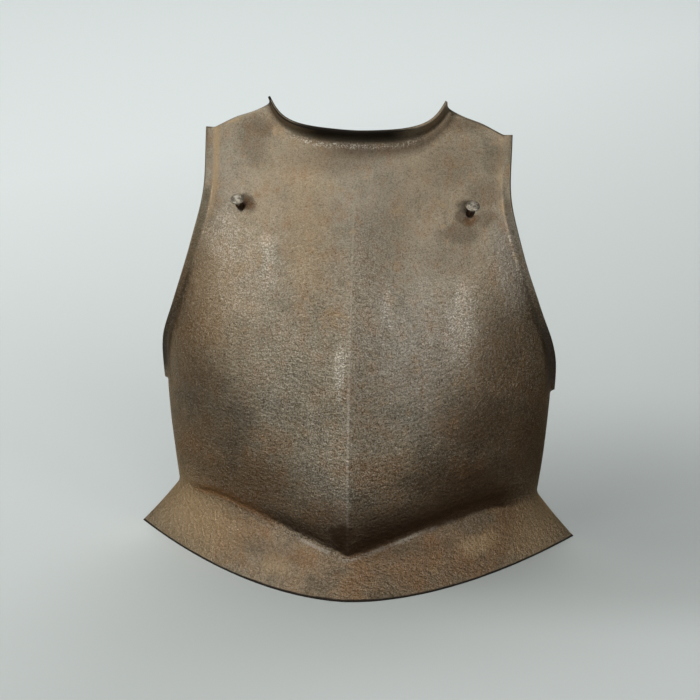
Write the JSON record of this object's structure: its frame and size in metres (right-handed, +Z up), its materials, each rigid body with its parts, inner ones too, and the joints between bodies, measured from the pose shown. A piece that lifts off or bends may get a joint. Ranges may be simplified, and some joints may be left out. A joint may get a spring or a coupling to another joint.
{
  "type": "steel breastplate",
  "caption": "Ridged steel breastplate with turned neck and arm edges, a flared waist flange that it stands on, and mushroom-headed strap studs below the shoulders.",
  "frame": {"origin": "middle of the space the part fills, seen from above, level with the rim of the waist flange that it stands on", "axes": "+Z up from the waist to the neck; -Y the way the front ridge faces; +X towards the wearer's left"},
  "size_m": [0.397, 0.1604, 0.4239],
  "materials": {
    "plate_steel": "brown patinated, finely pitted, worn bright on the high places",
    "stud_iron": "dark brown-grey iron, worn on the head"
  },
  "bodies": {
    "root": {"breast_plate": "plate_steel", "strap_stud_left": "stud_iron", "strap_stud_right": "stud_iron"}
  },
  "joints": []
}
